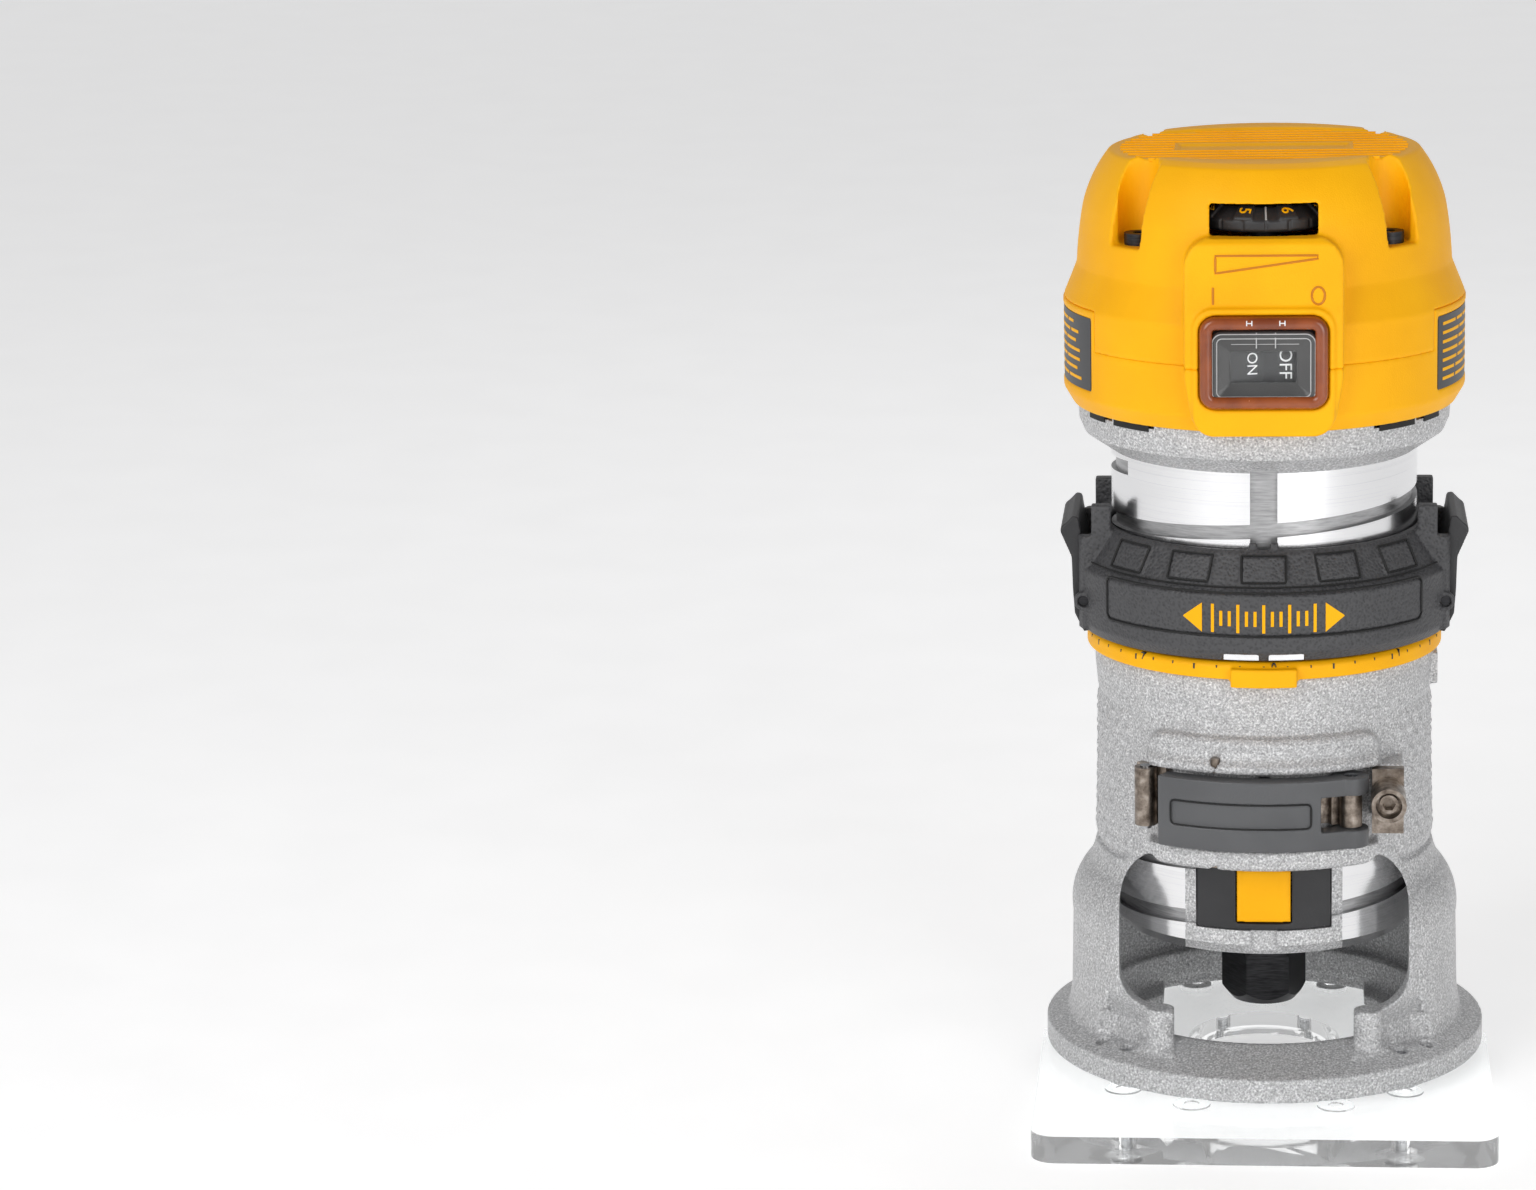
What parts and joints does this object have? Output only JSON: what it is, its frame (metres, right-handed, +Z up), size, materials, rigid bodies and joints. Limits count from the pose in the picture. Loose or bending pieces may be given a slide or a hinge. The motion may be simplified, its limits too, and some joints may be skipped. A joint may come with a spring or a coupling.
{
  "type": "trim router",
  "caption": "Compact trim router: motor unit held and height-adjusted in a cast fixed base with a clear D-shaped sub-base, clamp lever and depth ring.",
  "frame": {"origin": "on the spindle axis at the underside of the sub-base, the face that rests on the work", "axes": "+Z up along the spindle axis to the cap, -Y to the front of the tool with the switch, clamp lever and window, +X to the right seen from the front"},
  "size_m": [0.1024, 0.1233, 0.2149],
  "materials": {
    "cast_aluminium": "sand-textured die casting, light grey",
    "machined_aluminium": "turned bright aluminium on the motor barrel",
    "yellow_plastic": "fine-textured yellow-orange moulded plastic",
    "black_plastic": "fine-textured black moulded plastic",
    "black_rubber": "soft black rubbery overmould",
    "lever_plastic": "dark grey satin plastic",
    "amber_plastic": "amber brown translucent bezel",
    "clear_plastic": "clear polycarbonate",
    "steel": "plain machined steel",
    "dark_steel": "browned steel",
    "black_oxide": "black oxide steel",
    "copper": "enamelled copper winding",
    "carbon": "graphite brush",
    "brass_part": "brass",
    "board_green": "fibreglass circuit board",
    "label": "dark grey label plate, blank"
  },
  "bodies": {
    "base": {"base_casting": "cast_aluminium", "sub_base": "clear_plastic", "sub_base_screws": "steel", "guide_pins": "steel", "lever_pin": "steel", "clamp_strap": "dark_steel", "clamp_bracket": "dark_steel", "bracket_pin": "steel", "brow_pins": "dark_steel", "clamp_bar": "dark_steel", "adjusting_nut": "dark_steel", "adjusting_screw": "dark_steel"},
    "motor": {"motor_housing": "machined_aluminium", "lock_insert": "black_plastic", "lock_plate": "steel", "lock_spring": "steel", "stator_core": "steel", "field_coils": "copper", "fan_baffle": "black_plastic", "bearing_retainer": "steel", "lower_bearing_outer": "steel", "upper_bearing_outer": "steel", "bearing_bracket": "black_plastic", "brush_holders": "brass_part", "carbon_brushes": "carbon", "brush_springs": "steel", "circuit_board": "board_green", "speed_control": "black_plastic", "switch_body": "black_plastic", "switch_bezel": "amber_plastic", "switch_boot": "clear_plastic", "top_cap": "yellow_plastic", "cap_skirt": "yellow_plastic", "cap_screws": "black_oxide", "label_plates": "label", "cord_gland": "black_rubber"},
    "spindle": {"spindle_shaft": "steel", "rotor_core": "steel", "armature_windings": "copper", "commutator": "copper", "cooling_fan": "black_plastic", "lower_bearing_inner": "steel", "upper_bearing_inner": "steel", "bearing_balls": "steel", "collet": "steel", "collet_nut": "black_oxide"},
    "ring": {"depth_ring": "black_rubber", "ring_pins": "steel", "tab_pins": "black_oxide", "tab_springs": "steel"},
    "left_tab": {"release_tab_left": "black_plastic"},
    "right_tab": {"release_tab_right": "black_plastic"},
    "scale": {"scale_ring": "yellow_plastic"},
    "lever": {"clamp_lever": "lever_plastic"},
    "lock": {"lock_button": "yellow_plastic", "lock_pin": "steel"},
    "rocker": {"rocker_switch": "black_plastic"},
    "dial": {"speed_dial": "black_plastic"}
  },
  "joints": [
    {"name": "motor_height", "type": "slide", "parent": "base", "child": "motor", "axis": [0, 0, 1], "range_m": [-0.012, 0.024]},
    {"name": "depth_ring_turn", "type": "hinge", "parent": "base", "child": "ring", "pos_m": [0, 0, 0.118], "axis": [0, 0, 1], "range_deg": [-681.32, 341.16]},
    {"name": "spindle_spin", "type": "hinge", "parent": "motor", "child": "spindle", "pos_m": [0, 0, 0.06], "axis": [0, 0, 1], "continuous": true},
    {"name": "scale_ring_turn", "type": "hinge", "parent": "base", "child": "scale", "pos_m": [0, 0, 0.103], "axis": [0, 0, 1], "continuous": true},
    {"name": "left_tab_squeeze", "type": "hinge", "parent": "ring", "child": "left_tab", "pos_m": [-0.0404, 0, 0.1136], "axis": [0, 1, 0], "range_deg": [0, 9], "stiffness_Nm_per_rad": 0.25, "springref_deg": -14.32},
    {"name": "right_tab_squeeze", "type": "hinge", "parent": "ring", "child": "right_tab", "pos_m": [0.0404, 0, 0.1136], "axis": [0, -1, 0], "range_deg": [0, 9], "stiffness_Nm_per_rad": 0.25, "springref_deg": -14.32},
    {"name": "clamp_lever_swing", "type": "hinge", "parent": "base", "child": "lever", "pos_m": [0.01925, -0.038, 0.0711], "axis": [0, 0, 1], "range_deg": [0, 80]},
    {"name": "spindle_lock_press", "type": "slide", "parent": "motor", "child": "lock", "axis": [0, 1, 0], "range_m": [0, 0.003], "stiffness_N_per_m": 600, "springref_m": -0.002, "deforming": ["lock_spring"]},
    {"name": "rocker_tilt", "type": "hinge", "parent": "motor", "child": "rocker", "pos_m": [0, -0.041, 0.1732], "axis": [0, 0, 1], "range_deg": [-14, 0]},
    {"name": "speed_dial_turn", "type": "hinge", "parent": "motor", "child": "dial", "pos_m": [0, -0.0235, 0.2035], "axis": [0, 0, 1], "range_deg": [-216, 54]}
  ],
  "couplings": [
    {"joint": "depth_ring_turn", "follows": "motor_height", "rad_per_m": -494.74}
  ]
}
